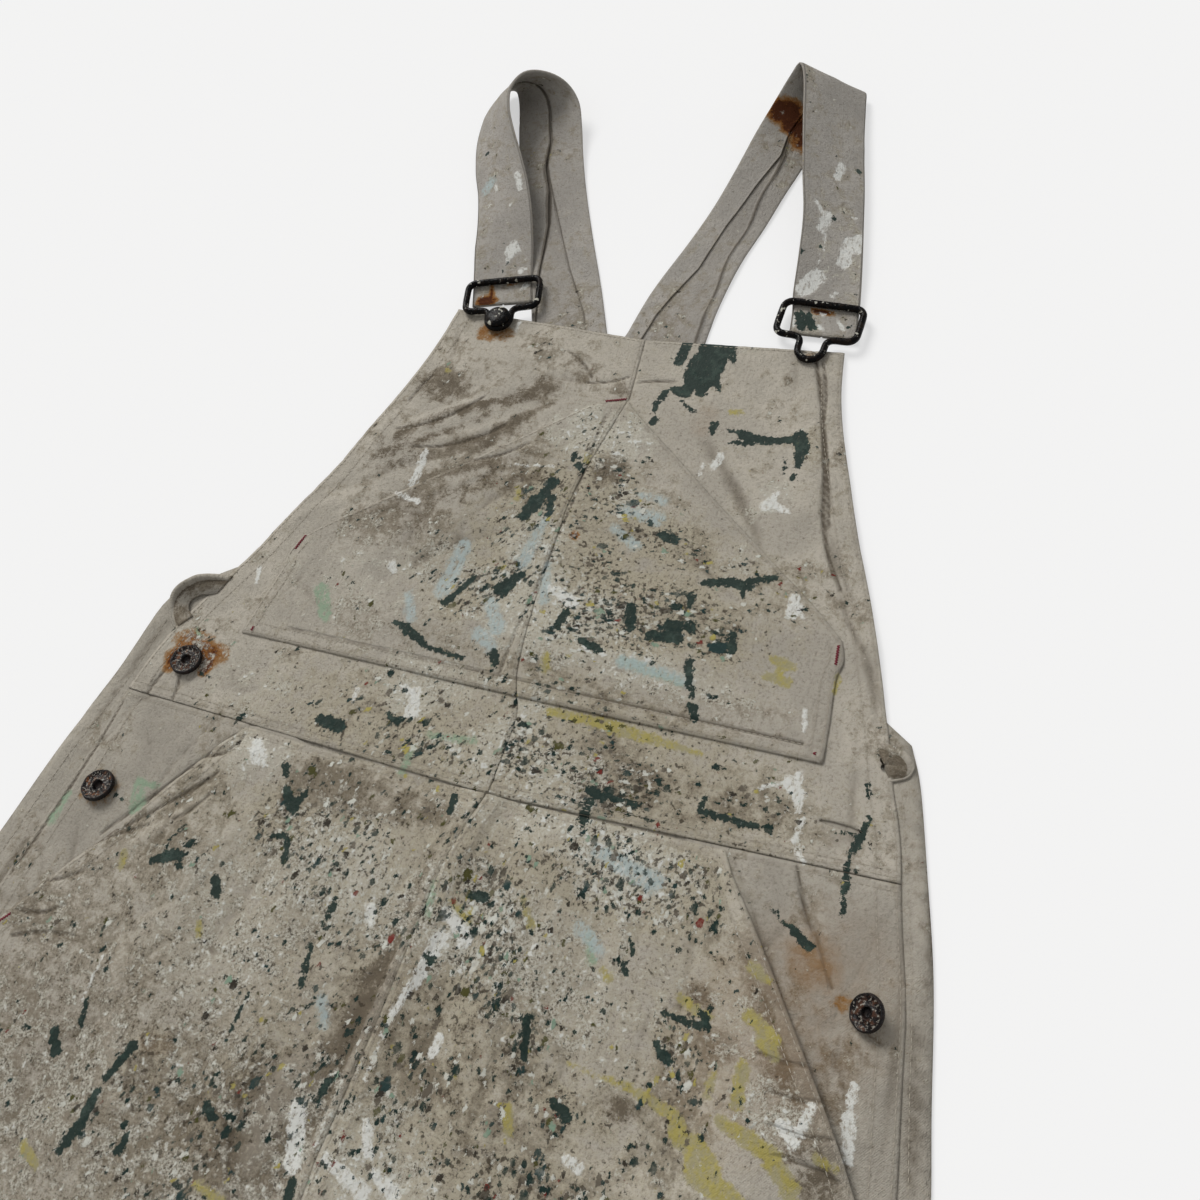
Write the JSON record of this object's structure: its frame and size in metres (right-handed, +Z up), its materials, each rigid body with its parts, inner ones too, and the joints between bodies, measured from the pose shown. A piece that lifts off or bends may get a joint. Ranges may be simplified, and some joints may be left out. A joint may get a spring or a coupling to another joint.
{
  "type": "paint spattered bib overalls laid flat",
  "caption": "Worn cotton drill bib overalls with a bib pocket, slant hip pockets, side openings and buckled shoulder straps, laid face up and stiff with spattered paint.",
  "frame": {"origin": "on the surface it lies on, under the middle of its whole box", "axes": "+Z up from the surface, +Y from the leg hems to the shoulder straps, +X to the right of the garment as it lies face up"},
  "size_m": [0.665, 1.5958, 0.0415],
  "materials": {
    "drill": "matt, stiff with paint and grime",
    "strap_drill": "matt",
    "black_wire": "black lacquer, chipped",
    "rusted_steel": "dark, rusted"
  },
  "bodies": {
    "root": {"back_left": "drill", "back_right": "drill", "leg_front_left": "drill", "leg_front_right": "drill", "bib_left": "drill", "bib_right": "drill", "bib_pocket_left": "drill", "bib_pocket_right": "drill", "pocket_facing_left": "drill", "pocket_facing_right": "drill", "strap_left": "strap_drill", "strap_right": "strap_drill", "buckle_left": "black_wire", "buckle_right": "black_wire", "bib_button_left": "black_wire", "side_button_left_upper": "rusted_steel", "side_button_left_lower": "rusted_steel", "side_button_right_lower": "rusted_steel"}
  },
  "joints": []
}
